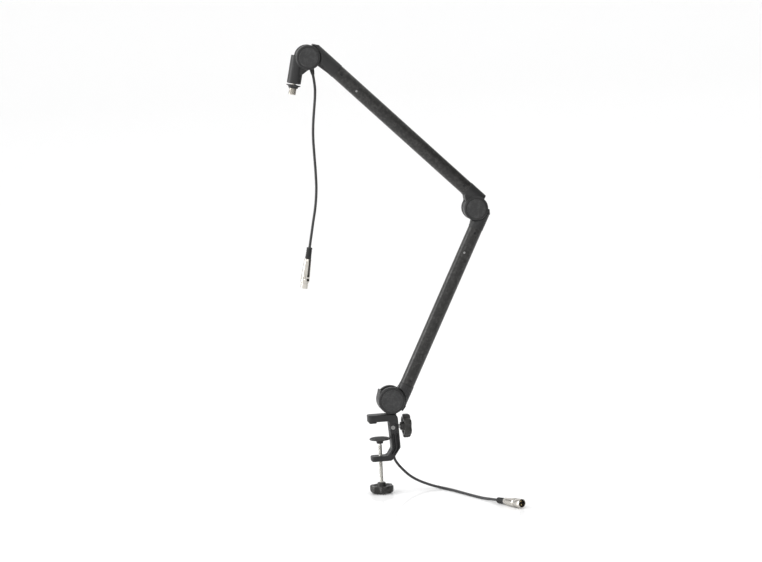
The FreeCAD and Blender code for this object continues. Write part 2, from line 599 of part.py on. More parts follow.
def arm_inside(name, pivot, angle, tube_start, tube_end, spring_start, spring_end):
    """Spring, its fixed pin, its pull rod and the lead, all inside the tube."""
    export(name + "_spring", leaned(spring(spring_start, spring_end), pivot, angle))
    x = TUBE_OFFSET + SPRING_SHIFT
    pin = across(PIN_RADIUS, -TUBE_RADIUS + 0.3, TUBE_RADIUS - 0.3, x, spring_end + PIN_AHEAD)
    export(name + "_spring_pin", leaned(pin, pivot, angle))
    eye_at = spring_start - HOOK_RADIUS + HOOK_WIRE / 2 + EYE_PIN_RADIUS + 0.1
    pull = joined(rod(1.9, Vector(x, 0, tube_start - 6.0), Vector(x, 0, eye_at - 12.0)),
                  Part.makeBox(5.0, 8.0, 4.0, Vector(x - 2.5, -4.0, eye_at - 14.0)),
                  Part.makeBox(5.0, 1.6, 14.0, Vector(x - 2.5, -3.2, eye_at - 11.0)),
                  Part.makeBox(5.0, 1.6, 14.0, Vector(x - 2.5, 1.6, eye_at - 11.0)),
                  across(EYE_PIN_RADIUS, -2.6, 2.6, x, eye_at))
    export(name + "_spring_rod", leaned(pull, pivot, angle))
    lead = Part.makeCylinder(LEAD_RADIUS, tube_end - tube_start + 10,
                             Vector(TUBE_OFFSET + LEAD_SHIFT, 0, tube_start - 5))
    export(name + "_lead", leaned(lead, pivot, angle))


def tube(start, end, pin_at, seats):
    shell = turned([(TUBE_RADIUS - TUBE_WALL, start), (TUBE_RADIUS - 0.4, start), (TUBE_RADIUS, start + 0.4),
                    (TUBE_RADIUS, end - 0.4), (TUBE_RADIUS - 0.4, end), (TUBE_RADIUS - TUBE_WALL, end)])
    shell = shell.translated(Vector(TUBE_OFFSET, 0, 0))
    shell = without(shell, across(PIN_RADIUS, -30, 30, TUBE_OFFSET + SPRING_SHIFT, pin_at))
    for seat in seats:
        shell = shell.cut(seat).Solids[0]
    return shell


def moulding_screws(stations):
    """Countersunk screws that fix each moulding's spigot in the tube, one on each side."""
    screws = []
    depth = TUBE_RADIUS - 0.2
    for station in stations:
        for side in (-1, 1):
            cone = turned([(0, 0), (1.5, 0), (1.5, 2.0), (2.9, 3.4), (2.9, 3.8), (0, 3.8)])
            slot = Part.makeBox(6, 0.7, 1.0, Vector(-3, -0.35, 3.2))
            at = Vector(TUBE_OFFSET, side * (depth - 3.8), station)
            screws.append(aimed(without(cone, slot), at, Vector(0, side, 0)))
    return screws


def screw_seats(stations):
    seats = []
    for station in stations:
        for side in (-1, 1):
            cone = turned([(0, -2), (1.5, -2), (1.5, 2.0), (2.9, 3.4), (2.9, 6.0), (0, 6.0)])
            cone.rotate(ORIGIN, Z_AXIS, 90)     # keeps its seam clear of the tube's edges
            at = Vector(TUBE_OFFSET, side * (TUBE_RADIUS - 4.0), station)
            seats.append(aimed(cone, at, Vector(0, side, 0)))
    return seats


def lower_arm():
    tube_end = LOWER_REACH - LOWER_TUBE_END_GAP
    stations = [LOWER_TUBE_START + 10, tube_end - 10]
    seats = screw_seats(stations)
    spring_end = tube_end - 60
    bracket = tongued_end(LOWER_TUBE_START, DRUM_RADIUS, BASE_TONGUE_RADIUS, BASE_LIP)
    export("base_bracket", leaned(bracket.cut(seats), BASE_PIVOT, LOWER_ANGLE))
    pivot_bush("base", BASE_PIVOT)
    shell = tube(LOWER_TUBE_START, tube_end, spring_end + PIN_AHEAD, seats)
    export("lower_tube", leaned(shell, BASE_PIVOT, LOWER_ANGLE))
    export("lower_screws", *[leaned(s, BASE_PIVOT, LOWER_ANGLE) for s in moulding_screws(stations)])
    arm_inside("lower", BASE_PIVOT, LOWER_ANGLE, LOWER_TUBE_START, tube_end,
               LOWER_TUBE_START + 75, spring_end)
    far = flipped(tongued_end(LOWER_TUBE_END_GAP, CHEEK_RADIUS, TONGUE_RADIUS, ARM_LIP))
    far_seats = [leaned(s, BASE_PIVOT, LOWER_ANGLE) for s in seats]
    elbow = leaned(far, ELBOW_PIVOT, LOWER_ANGLE + 180).cut(far_seats)
    export("elbow_bracket", elbow)
    pivot_bush("elbow", ELBOW_PIVOT)


def upper_arm():
    tube_end = UPPER_REACH - UPPER_TUBE_END_GAP
    stations = [UPPER_TUBE_START + 10, tube_end - 10]
    seats = screw_seats(stations)
    spring_end = tube_end - 60
    hollow = forked_end(UPPER_TUBE_START, COLLAR_RADIUS).cut(limb_hollow(32.0, UPPER_TUBE_START))
    knuckle = joined(hollow, spigot(UPPER_TUBE_START)).cut(seats)
    export("elbow_knuckle", leaned(knuckle, ELBOW_PIVOT, UPPER_ANGLE))
    pivot_hardware("elbow", ELBOW_PIVOT, CHEEK_RADIUS)
    shell = tube(UPPER_TUBE_START, tube_end, spring_end + PIN_AHEAD, seats)
    export("upper_tube", leaned(shell, ELBOW_PIVOT, UPPER_ANGLE))
    export("upper_screws", *[leaned(s, ELBOW_PIVOT, UPPER_ANGLE) for s in moulding_screws(stations)])
    arm_inside("upper", ELBOW_PIVOT, UPPER_ANGLE, UPPER_TUBE_START, tube_end,
               UPPER_TUBE_START + 75, spring_end)
    far = flipped(tongued_end(UPPER_TUBE_END_GAP, CHEEK_RADIUS, TONGUE_RADIUS, ARM_LIP))
    far_seats = [leaned(s, ELBOW_PIVOT, UPPER_ANGLE) for s in seats]
    bracket = leaned(far, HEAD_PIVOT, UPPER_ANGLE + 180).cut(far_seats)
    outlet = rod(4.6, HEAD_EXIT - HEAD_EXIT_WAY * 9.0, HEAD_EXIT - HEAD_EXIT_WAY * 2.0)
    bore = rod(3.9, HEAD_EXIT - HEAD_EXIT_WAY * 12.0, HEAD_EXIT + HEAD_EXIT_WAY * 5.0)
    export("head_bracket", without(joined(bracket, outlet), bore))
    pivot_bush("head", HEAD_PIVOT)


# ---- head ---------------------------------------------------------------------------
def head():
    socket = forked_end(SOCKET_END, SOCKET_RADIUS)
    neck_hole = Part.makeCylinder(STUD_NECK_RADIUS, 30, Vector(TUBE_OFFSET, 0, STUD_ROOT))
    rim = turned([(SOCKET_RADIUS - 1.0, SOCKET_END + 1), (SOCKET_RADIUS - 1.0, SOCKET_END),
                  (SOCKET_RADIUS, SOCKET_END - 1.0), (SOCKET_RADIUS + 1, SOCKET_END - 1.0),
                  (SOCKET_RADIUS + 1, SOCKET_END + 1)])
    socket = without(socket, neck_hole, rim.translated(Vector(TUBE_OFFSET, 0, 0)))
    export("head_knuckle", leaned(socket, HEAD_PIVOT, HEAD_ANGLE))
    pivot_hardware("head", HEAD_PIVOT, CHEEK_RADIUS)
    relief_start, relief_end = STUD_RELIEF
    stud = turned([(0, STUD_ROOT), (STUD_NECK_RADIUS, STUD_ROOT), (STUD_NECK_RADIUS, STUD_START - 0.6),
                   (STUD_RADIUS - 0.6, STUD_START - 0.6), (STUD_RADIUS, STUD_START),
                   (STUD_RADIUS, relief_start), (STUD_RADIUS - 0.5, relief_start),
                   (STUD_RADIUS - 0.5, relief_end), (STUD_RADIUS, relief_end),
                   (STUD_RADIUS, STUD_END - 1.2), (STUD_RADIUS - 1.2, STUD_END), (0, STUD_END)])
    export("mic_stud", leaned(stud.translated(Vector(TUBE_OFFSET, 0, 0)), HEAD_PIVOT, HEAD_ANGLE))
    bore = STUD_RADIUS + RUNNING
    edge = LOCK_WASHER_START + LOCK_WASHER_THICKNESS
    washer = turned([(bore, LOCK_WASHER_START), (LOCK_WASHER_RADIUS - 0.4, LOCK_WASHER_START),
                     (LOCK_WASHER_RADIUS, LOCK_WASHER_START + 0.4), (LOCK_WASHER_RADIUS, edge - 0.4),
                     (LOCK_WASHER_RADIUS - 0.4, edge), (bore, edge)])
    washer = washer.translated(Vector(TUBE_OFFSET, 0, 0))
    export("stud_lock_washer", leaned(washer, HEAD_PIVOT, HEAD_ANGLE))
    nut = turned([(bore, edge + 0.1), (11.5, edge + 0.1), (11.5, edge + 0.7), (10.2, edge + 2.0),
                  (9.8, LOCK_NUT_END - 0.4), (9.4, LOCK_NUT_END), (bore, LOCK_NUT_END)])
    flats = []
    for i in range(6):
        flat = Part.makeBox(3.0, 8.0, 6.0, Vector(9.5, -4.0, edge + 1.6))
        flat.rotate(ORIGIN, Z_AXIS, 60 * i)
        flats.append(flat)
    nut = without(nut, *flats).translated(Vector(TUBE_OFFSET, 0, 0))
    export("stud_lock_nut", leaned(nut, HEAD_PIVOT, HEAD_ANGLE))


# ---- connectors: made along +Z from the boot's rear face, then laid on their leads ----
def connector_boot():
    corners = [(0, 0), (BOOT_REAR_RADIUS - 0.5, 0), (BOOT_REAR_RADIUS, 0.5)]
    for i in range(4):
        groove = 4.0 + 4.0 * i
        radius = BOOT_REAR_RADIUS + (BOOT_FRONT_RADIUS - BOOT_REAR_RADIUS) * groove / CONNECTOR_BOOT
        corners += [(radius, groove), (radius - 0.7, groove + 0.5),
                    (radius - 0.7, groove + 1.3), (radius, groove + 1.8)]
    return turned(corners + [(BOOT_FRONT_RADIUS, CONNECTOR_BOOT), (0, CONNECTOR_BOOT)])


def contacts(radius, start, end):
    """Three contacts on a 4 mm circle."""
    pins = []
    for angle in (90, 210, 330):
        a = math.radians(angle)
        at = Vector(4.0 * math.cos(a), 4.0 * math.sin(a), start)
        pins.append(Part.makeCylinder(radius, end - start, at))
    return pins


LATCH_BOX = (4.6, 9.0)      # the latch button's width and length
LATCH_START = 56.0


def socket_connector():
    """The microphone end: a female connector with a push latch."""
    shell = turned([(4.8, CONNECTOR_BOOT), (BOOT_FRONT_RADIUS + 0.6, CONNECTOR_BOOT),
                    (SHELL_RADIUS - 0.5, CONNECTOR_SHELL_END - 14.0),
                    (SHELL_RADIUS, CONNECTOR_SHELL_END - 11.0), (SHELL_RADIUS, CONNECTOR_SHELL_END - 1.0),
                    (SHELL_RADIUS - 0.8, CONNECTOR_SHELL_END),
                    (BARREL_RADIUS, CONNECTOR_SHELL_END), (BARREL_RADIUS, CONNECTOR_LENGTH - 0.6),
                    (BARREL_RADIUS - 0.6, CONNECTOR_LENGTH), (BARREL_RADIUS - 1.2, CONNECTOR_LENGTH),
                    (BARREL_RADIUS - 1.2, CONNECTOR_BOOT + 14.0), (4.8, CONNECTOR_BOOT + 10.0)])
    width, length = LATCH_BOX
    window = Part.makeBox(width + 0.4, 8.0, length + 0.4,
                          Vector(-width / 2 - 0.2, -SHELL_RADIUS - 3.0, LATCH_START - 0.2))
    shell = without(shell, window)
    insert = turned([(0, CONNECTOR_SHELL_END - 1.0), (BARREL_RADIUS - 1.2, CONNECTOR_SHELL_END - 1.0),
                     (BARREL_RADIUS - 1.2, CONNECTOR_LENGTH - 1.0), (0, CONNECTOR_LENGTH - 1.0)])
    insert = without(insert, *contacts(1.3, CONNECTOR_SHELL_END + 1.0, CONNECTOR_LENGTH + 1))
    button = Part.makeBox(width, 3.0, length, Vector(-width / 2, -SHELL_RADIUS - 0.7, LATCH_START))
    button = button.makeFillet(0.5, [e for e in button.Edges if e.CenterOfMass.y < -SHELL_RADIUS - 0.6])
    return shell, insert, button


def pin_connector():
    """The recorder end: a male connector, a cup with three pins in it."""
    bore = BARREL_RADIUS + 0.15
    shell = turned([(4.8, CONNECTOR_BOOT), (BOOT_FRONT_RADIUS + 0.6, CONNECTOR_BOOT),
                    (SHELL_RADIUS - 0.5, PIN_SHELL_FULL - 3.0), (SHELL_RADIUS, PIN_SHELL_FULL),
                    (SHELL_RADIUS, PIN_FRONT - 0.6), (SHELL_RADIUS - 0.6, PIN_FRONT),
                    (bore, PIN_FRONT), (bore, CONNECTOR_BOOT + 20.0), (4.8, CONNECTOR_BOOT + 12.0)])
    insert = turned([(0, PIN_CUP - 4.0), (bore, PIN_CUP - 4.0), (bore, PIN_CUP), (0, PIN_CUP)])
    pins = contacts(1.2, PIN_CUP - 6.0, PIN_CUP + 9.0)
    return shell, without(insert, *pins), pins


# ---- leads --------------------------------------------------------------------------
HEAD_CONNECTOR_AT = Vector(-123.6, 36.0, 373.1)
HEAD_LEAD_ROUTE = [
    HEAD_GLAND_END,
    HEAD_GLAND_END + HEAD_EXIT_WAY * 22.0,
    Vector(-102.2, 5.0, 688.5),
    Vector(-104.3, 14.0, 660.0),
    Vector(-106.6, 20.5, 631.0),
    Vector(-107.2, 27.0, 600.3),
    Vector(-105.5, 31.0, 565.7),
    Vector(-103.8, 34.0, 529.3),
    Vector(-103.4, 36.0, 493.0),
    Vector(-107.1, 37.0, 456.9),
    Vector(-113.7, 37.0, 424.9),
    Vector(-119.0, 36.5, 397.0),
    HEAD_CONNECTOR_AT,
]
TAIL_GLAND_END = Vector(OUTLET.x, OUTLET.y, OUTLET_Z - 24.0)
FLOOR_LEAD_Z = FLOOR_Z + LEAD_RADIUS
TAIL_CONNECTOR_AT = Vector(208.5, -184.5, FLOOR_Z + 5.9)
TAIL_LEAD_ROUTE = [
    TAIL_GLAND_END,
    Vector(OUTLET.x, OUTLET.y, -80.0),
    Vector(38.0, 22.2, -93.2),
    Vector(50.5, 22.0, -108.5),
    Vector(66.0, 19.5, -124.0),
    Vector(86.0, 14.5, -135.5),
    Vector(108.0, 4.0, -143.5),
    Vector(127.0, -10.0, FLOOR_LEAD_Z),
    Vector(139.5, -32.0, FLOOR_LEAD_Z),
    Vector(151.5, -60.0, FLOOR_LEAD_Z),
    Vector(163.0, -88.5, FLOOR_LEAD_Z),
    Vector(174.5, -115.0, FLOOR_LEAD_Z),
    Vector(186.5, -141.0, FLOOR_LEAD_Z),
    Vector(200.0, -166.0, FLOOR_LEAD_Z + 1.8),
    TAIL_CONNECTOR_AT,
]


def turned_about_own_axis(shape, angle):
    spun = shape.copy()
    spun.rotate(ORIGIN, Z_AXIS, angle)
    return spun


def leads():
    gland = turned([(0, -7.0), (3.9, -7.0), (3.9, -2.0), (4.6, -2.0), (4.6, 1.0), (3.4, 9.0), (0, 9.0)])
    export("head_gland", aimed(gland, HEAD_EXIT, HEAD_EXIT_WAY))
    export("head_lead", route_tube(HEAD_LEAD_ROUTE, LEAD_RADIUS))
    way = HEAD_CONNECTOR_AT - HEAD_LEAD_ROUTE[-2]
    shell, insert, button = socket_connector()
    for name, shape in (("head_plug_boot", connector_boot()), ("head_plug_shell", shell),
                        ("head_plug_insert", insert), ("head_plug_latch", button)):
        export(name, aimed(turned_about_own_axis(shape, 35), HEAD_CONNECTOR_AT, way))
    gland = turned([(0, 0), (6.2, 0), (6.2, -2.5), (5.2, -3.2), (3.4, -24.0), (0, -24.0)])
    export("tail_gland", gland.translated(Vector(OUTLET.x, OUTLET.y, OUTLET_Z)))
    inside = piped(outlet_path(POST_TOP_Z, OUTLET_Z), LEAD_RADIUS)
    export("clamp_lead", inside)
    export("tail_lead", route_tube(TAIL_LEAD_ROUTE, LEAD_RADIUS))
    # the plug rests on its shell's full radius and on the boot's rear edge
    across_floor = TAIL_CONNECTOR_AT - TAIL_LEAD_ROUTE[-2]
    across_floor.z = 0
    rise = (SHELL_RADIUS - BOOT_REAR_RADIUS) / PIN_SHELL_FULL
    way = across_floor.normalize() + Vector(0, 0, rise)
    shell, insert, pins = pin_connector()
    laid = [aimed(s, TAIL_CONNECTOR_AT, way) for s in [connector_boot(), shell, insert] + pins]
    export("tail_plug_boot", laid[0])
    export("tail_plug_shell", laid[1])
    export("tail_plug_insert", laid[2])
    export("tail_plug_pins", *laid[3:])


def main():
    os.makedirs("parts", exist_ok=True)
    clamp()
    clamp_screw()
    lock_knob()
    base()
    lower_arm()
    upper_arm()
    head()
    leads()


main()
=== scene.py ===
"""Looks of a desk-clamp microphone boom arm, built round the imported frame. Metres, +Z up."""
import json
import math

import bmesh
import bpy
from mathutils import Matrix, Vector


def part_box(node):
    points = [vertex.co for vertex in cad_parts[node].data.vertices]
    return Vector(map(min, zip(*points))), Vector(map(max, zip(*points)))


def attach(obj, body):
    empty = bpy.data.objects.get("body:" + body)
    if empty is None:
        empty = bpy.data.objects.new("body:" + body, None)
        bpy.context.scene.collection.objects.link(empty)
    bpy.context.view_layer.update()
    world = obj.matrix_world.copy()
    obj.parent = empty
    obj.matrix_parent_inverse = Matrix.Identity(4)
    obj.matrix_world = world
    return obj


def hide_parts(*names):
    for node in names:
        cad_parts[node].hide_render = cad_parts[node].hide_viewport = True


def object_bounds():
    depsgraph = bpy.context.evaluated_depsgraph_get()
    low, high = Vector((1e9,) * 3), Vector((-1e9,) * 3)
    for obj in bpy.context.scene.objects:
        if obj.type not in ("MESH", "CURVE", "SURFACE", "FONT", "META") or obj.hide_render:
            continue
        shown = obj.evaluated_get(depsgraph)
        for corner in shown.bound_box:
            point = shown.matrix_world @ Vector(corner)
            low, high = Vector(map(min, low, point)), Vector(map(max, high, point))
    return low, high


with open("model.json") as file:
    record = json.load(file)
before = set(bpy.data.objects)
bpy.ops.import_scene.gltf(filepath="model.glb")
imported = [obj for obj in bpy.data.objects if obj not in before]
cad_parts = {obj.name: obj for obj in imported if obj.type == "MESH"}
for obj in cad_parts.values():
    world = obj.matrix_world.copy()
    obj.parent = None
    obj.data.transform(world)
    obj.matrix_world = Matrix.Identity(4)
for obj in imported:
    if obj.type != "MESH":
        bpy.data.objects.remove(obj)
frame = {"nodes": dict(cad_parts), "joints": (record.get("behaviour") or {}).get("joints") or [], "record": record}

CAD_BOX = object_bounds()
NODES = frame["nodes"]
JOINTS = {joint["name"]: joint for joint in frame["joints"]}
NODE_SLOT = {part["node"]: part["material_slot"] for part in frame["record"]["subparts"]}
NODE_BODY = {node: body
             for body, nodes in frame["record"]["behaviour"]["bodies"].items()
             for node in nodes}
MM = 0.001
TURN = 2 * math.pi

# ---- places, from the frame ---------------------------------------------------------
FLOOR_Z = CAD_BOX[0].z
HEAD = Vector(JOINTS["head_tilt"]["pos_m"])
STUD_WAY = Vector(JOINTS["stud_nut_turn"]["axis"]).normalized()
STUD_OFFSET = 0.019         # from the head's pivot to the stud's own axis


def place(at, way):
    """A matrix that lays a piece made along +Z from the origin at `at`, along `way`."""
    turn = Vector((0, 0, 1)).rotation_difference(Vector(way)).to_matrix().to_4x4()
    return Matrix.Translation(at) @ turn


def pivot_frame(pivot, way):
    """A moulding's own frame: its pivot at the origin, the moulding along +Z."""
    return Matrix.Translation(pivot) @ Matrix.Rotation(math.atan2(way.x, way.z), 4, "Y")


def in_scene(name, data):
    """A new object with this data, linked into the scene."""
    thing = bpy.data.objects.new(name, data)
    bpy.context.scene.collection.objects.link(thing)
    return thing


def stand_for(piece, node):
    """Shows the piece in place of a CAD node, on the node's body."""
    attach(piece, NODE_BODY[node])
    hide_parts(node)
    return piece


# ---- camera -------------------------------------------------------------------------
CAMERA_AZIMUTH = math.radians(-10.0)
CAMERA_ELEVATION = math.radians(8.0)
CAMERA_ROLL = math.radians(2.5)
CAMERA_DISTANCE = 6.0
VIEW_WIDTH = 1.5926         # what the picture spans at the object
VIEW_CENTRE = (0.0042, 0.2959)
SENSOR = 36.0


def make_camera():
    """A long lens, level with the middle of the arm, a little to the left and above."""
    sin_a, cos_a = math.sin(CAMERA_AZIMUTH), math.cos(CAMERA_AZIMUTH)
    sin_e, cos_e = math.sin(CAMERA_ELEVATION), math.cos(CAMERA_ELEVATION)
    back = Vector((sin_a * cos_e, -cos_a * cos_e, sin_e))
    level = Vector((cos_a, sin_a, 0))
    upright = back.cross(level)
    right = level * math.cos(CAMERA_ROLL) - upright * math.sin(CAMERA_ROLL)
    up = level * math.sin(CAMERA_ROLL) + upright * math.cos(CAMERA_ROLL)
    data = bpy.data.cameras.new("camera")
    data.sensor_width = SENSOR
    data.lens = SENSOR * CAMERA_DISTANCE / VIEW_WIDTH
    data.clip_end = 100
    camera = in_scene("camera", data)
    target = right * VIEW_CENTRE[0] + up * VIEW_CENTRE[1]
    turn = Matrix((right, up, back)).transposed().to_4x4()
    camera.matrix_world = Matrix.Translation(target + back * CAMERA_DISTANCE) @ turn
    bpy.context.scene.camera = camera


# ---- materials ----------------------------------------------------------------------
class Coat:
    """Node-building for one material: its own noise, bump, edge scuffing with a painted edge highlight, and
    painted shade in hollows, in object space.
    """

    def __init__(self, name, metallic=0.0, ior=1.5):
        self.material = bpy.data.materials.new(name)
        self.material.use_nodes = True
        self.tree = self.material.node_tree
        self.shader = self.tree.nodes["Principled BSDF"]
        self.shader.inputs["Metallic"].default_value = metallic
        self.shader.inputs["IOR"].default_value = ior
        self.where = self.add("ShaderNodeTexCoord").outputs["Object"]

    def add(self, kind, **settings):
        node = self.tree.nodes.new(kind)
        for key, value in settings.items():
            setattr(node, key, value)
        return node

    def link(self, source, target):
        self.tree.links.new(source, target)

    def stretched(self, factors):
        """Object space pulled out along the axes, for brushed and turned marks."""
        mapping = self.add("ShaderNodeMapping")
        mapping.inputs["Scale"].default_value = factors
        self.link(self.where, mapping.inputs["Vector"])
        return mapping.outputs["Vector"]

    def noise(self, scale, detail=3.0, roughness=0.5, vector=None):
        node = self.add("ShaderNodeTexNoise")
        node.inputs["Scale"].default_value = scale
        node.inputs["Detail"].default_value = detail
        node.inputs["Roughness"].default_value = roughness
        self.link(vector or self.where, node.inputs["Vector"])
        return node.outputs["Fac"]

    def ranged(self, value, low, high, to_low=0.0, to_high=1.0):
        """Maps low..high onto to_low..to_high and holds it there."""
        node = self.add("ShaderNodeMapRange")
        for key, number in (("From Min", low), ("From Max", high),
                            ("To Min", to_low), ("To Max", to_high)):
            node.inputs[key].default_value = number
        self.link(value, node.inputs["Value"])
        return node.outputs["Result"]

    def combined(self, operation, a, b):
        node = self.add("ShaderNodeMath", operation=operation)
        self.link(a, node.inputs[0])
        self.link(b, node.inputs[1])
        return node.outputs[0]

    def blend(self, share, first, second):
        """Colours mixed by share. Either may be a socket or an RGB triple."""
        node = self.add("ShaderNodeMix", data_type="RGBA")
        self.link(share, node.inputs["Factor"])
        for socket, colour in ((node.inputs[6], first), (node.inputs[7], second)):
            if isinstance(colour, tuple):
                socket.default_value = (*colour, 1)
            else:
                self.link(colour, socket)
        return node.outputs[2]

    def edges(self):
        """High on outward edges, from the mesh's own curvature."""
        return self.ranged(self.add("ShaderNodeNewGeometry").outputs["Pointiness"], 0.505, 0.56)

    def hollows(self):
        """High in corners and grooves, from the mesh's own curvature."""
        curvature = self.add("ShaderNodeNewGeometry").outputs["Pointiness"]
        return self.ranged(curvature, 0.44, 0.495, 1.0, 0.0)

    def bumps(self, *layers):
        """Each layer is (height socket, strength, distance in metres)."""
        normal = None
        for height, strength, distance in layers:
            node = self.add("ShaderNodeBump")
            node.inputs["Strength"].default_value = strength
            node.inputs["Distance"].default_value = distance
            self.link(height, node.inputs["Height"])
            if normal is not None:
                self.link(normal, node.inputs["Normal"])
            normal = node.outputs["Normal"]
        self.link(normal, self.shader.inputs["Normal"])

    def finish(self, colour, roughness):
        self.link(colour, self.shader.inputs["Base Color"])
        self.link(roughness, self.shader.inputs["Roughness"])
        return self.material


def scaled(colour, factor):
    return tuple(channel * factor for channel in colour)


def painted(name, dark, light, worn_and_highlight, roughness, grain, orange_peel, grain_depth):
    """Powder coat or moulded plastic: speckled colour, fine grain, polished and paler edges, the paleness partly
    scuffing and partly a painted edge highlight.
    """
    coat = Coat(name, ior=1.42)
    clouds = coat.ranged(coat.noise(24, 3), 0.3, 0.7)
    speckle = coat.ranged(coat.noise(2600, 2), 0.35, 0.65)
    colour = coat.blend(clouds, dark, light)
    colour = coat.blend(coat.ranged(speckle, 0, 1, 0, 0.22), colour, scaled(light, 1.5))
    patches = coat.ranged(coat.noise(170, 5, 0.65), 0.45, 0.65)
    # scuffing and painted edge highlight: patches on convex edges are mixed towards the paler edge colour
    wear_and_highlight = coat.combined("MULTIPLY", coat.edges(), patches)
    colour = coat.blend(coat.ranged(wear_and_highlight, 0, 1, 0, 0.45), colour, worn_and_highlight)
    marks = coat.ranged(coat.noise(60, 5, 0.6), 0.3, 0.72, roughness - 0.03, roughness + 0.04)
    polish = coat.ranged(wear_and_highlight, 0, 1, 0, -0.08)
    coat.bumps((coat.noise(orange_peel, 2), 0.12, 0.00004),
               (coat.noise(grain, 3, 0.6), 0.3, grain_depth))
    return coat.finish(colour, coat.combined("ADD", marks, polish))


def metal(name, base, tint, roughness, brush=(1, 1, 1), hollow_shade=0.5):
    """Plated or bare metal: brushed roughness, faint clouds, and painted shade in the hollows, which are also made
    rougher; the last argument sets how dark that painted shade is.
    """
    coat = Coat(name, metallic=1.0)
    clouds = coat.ranged(coat.noise(120, 4), 0.3, 0.7)
    colour = coat.blend(clouds, base, tint)
    # painted shade: the hollows are darkened towards a quarter of the base colour
    hollow_shade_mask = coat.ranged(coat.hollows(), 0, 1, 0, hollow_shade)
    colour = coat.blend(hollow_shade_mask, colour, scaled(base, 0.25))
    brushed = coat.noise(900, 3, 0.6, coat.stretched(brush))
    rough = coat.ranged(brushed, 0.3, 0.7, roughness - 0.06, roughness + 0.08)
    coat.bumps((brushed, 0.5, 0.00002), (coat.noise(260, 3), 0.15, 0.00004))
    return coat.finish(colour, coat.combined("ADD", rough, coat.ranged(hollow_shade_mask, 0, 1, 0, 0.2)))


def rubbery(name, dark, light, roughness, grain=1800, grain_depth=0.00005):
    """Rubber or a soft jacket: dull, with a bloom of paler dust and a fine grain."""
    coat = Coat(name)
    clouds = coat.ranged(coat.noise(60, 4, 0.6), 0.35, 0.7)
    colour = coat.blend(clouds, dark, light)
    dust = coat.ranged(coat.noise(1900, 2), 0.55, 0.75, 0, 0.3)
    colour = coat.blend(dust, colour, scaled(light, 2.2))
    rough = coat.ranged(coat.noise(140, 4), 0.3, 0.7, roughness - 0.08, roughness + 0.08)
    coat.bumps((coat.noise(grain, 3), 0.5, grain_depth), (coat.noise(220, 2), 0.25, 0.00008))
    return coat.finish(colour, rough)


def moulded_plain(name, dark, light, roughness):
    """A plain engineering plastic, for bushes, washers and insulators."""
    coat = Coat(name)
    colour = coat.blend(coat.ranged(coat.noise(90, 4), 0.3, 0.7), dark, light)
    rough = coat.ranged(coat.noise(300, 3), 0.3, 0.7, roughness - 0.06, roughness + 0.06)
    coat.bumps((coat.noise(1500, 2), 0.4, 0.00003),)
    return coat.finish(colour, rough)


def make_materials():
    """One material for each of the record's slots."""
    return {
        # the third colour of each painted() finish is its paler edge colour, partly scuffing and partly a painted
        # edge highlight
        "cast_black": painted(
            "cast_black", (0.011, 0.011, 0.0116), (0.015, 0.015, 0.0156), (0.07, 0.068, 0.066),
            roughness=0.44, grain=1100, orange_peel=210, grain_depth=0.00006),
        "tube_black": painted(
            "tube_black", (0.0105, 0.0102, 0.0096), (0.0135, 0.0131, 0.0123), (0.07, 0.068, 0.065),
            roughness=0.36, grain=1900, orange_peel=320, grain_depth=0.00003),
        "moulded_black": painted(
            "moulded_black", (0.014, 0.014, 0.0142), (0.0185, 0.0185, 0.0187),
            (0.062, 0.062, 0.061),
            roughness=0.46, grain=1500, orange_peel=240, grain_depth=0.00005),
        "cover_black": painted(
            "cover_black", (0.026, 0.026, 0.0264), (0.030, 0.030, 0.0304), (0.08, 0.08, 0.08),
            roughness=0.48, grain=1700, orange_peel=240, grain_depth=0.00002),
        "knob_black": painted(
            "knob_black", (0.013, 0.0127, 0.0115), (0.019, 0.0184, 0.0168), (0.07, 0.067, 0.060),
            roughness=0.36, grain=1300, orange_peel=300, grain_depth=0.00004),
        "rubber_black": rubbery(
            "rubber_black", (0.013, 0.013, 0.013), (0.019, 0.019, 0.019), roughness=0.72),
        "lead_black": rubbery(
            "lead_black", (0.018, 0.018, 0.0185), (0.025, 0.025, 0.0255),
            roughness=0.45, grain=2300, grain_depth=0.00003),
        "screw_steel": metal(
            "screw_steel", (0.62, 0.61, 0.57), (0.54, 0.53, 0.50),
            roughness=0.22, brush=(1, 1, 0.2)),
        # the nickel's hollows get the strongest painted shade
        "nickel": metal(
            "nickel", (0.60, 0.575, 0.53), (0.53, 0.505, 0.465),
            roughness=0.15, brush=(1, 1, 0.08), hollow_shade=0.7),
        "zinc": metal("zinc", (0.34, 0.34, 0.335), (0.27, 0.27, 0.27), roughness=0.32),
        "black_steel": metal(
            "black_steel", (0.040, 0.040, 0.041), (0.028, 0.028, 0.029), roughness=0.38),
        "spring_steel": metal(
            "spring_steel", (0.34, 0.34, 0.35), (0.26, 0.26, 0.27), roughness=0.36),
        "nylon": moulded_plain(
            "nylon", (0.70, 0.68, 0.62), (0.76, 0.74, 0.68), roughness=0.42),
        "insert_black": moulded_plain(
            "insert_black", (0.014, 0.014, 0.014), (0.022, 0.022, 0.022), roughness=0.40),
        "contact": metal("contact", (0.78, 0.62, 0.32), (0.70, 0.55, 0.28), roughness=0.22),
    }


def dress_nodes():
    """Gives each CAD node the material of its slot."""
    for name, node in NODES.items():
        node.data.materials.clear()
        node.data.materials.append(MATERIALS[NODE_SLOT[name]])


# ---- shaped pieces ------------------------------------------------------------------
# Profiles are in millimetres, along +Z; each piece is then laid where its CAD node stands.
# AXIS is the radius of the small flat face that closes a turned piece on its axis.
AXIS = 0.4
CREASE = 38                 # degrees: a sharper corner than this is shaded as an edge
FINE_CREASE = 60            # the same, for threads

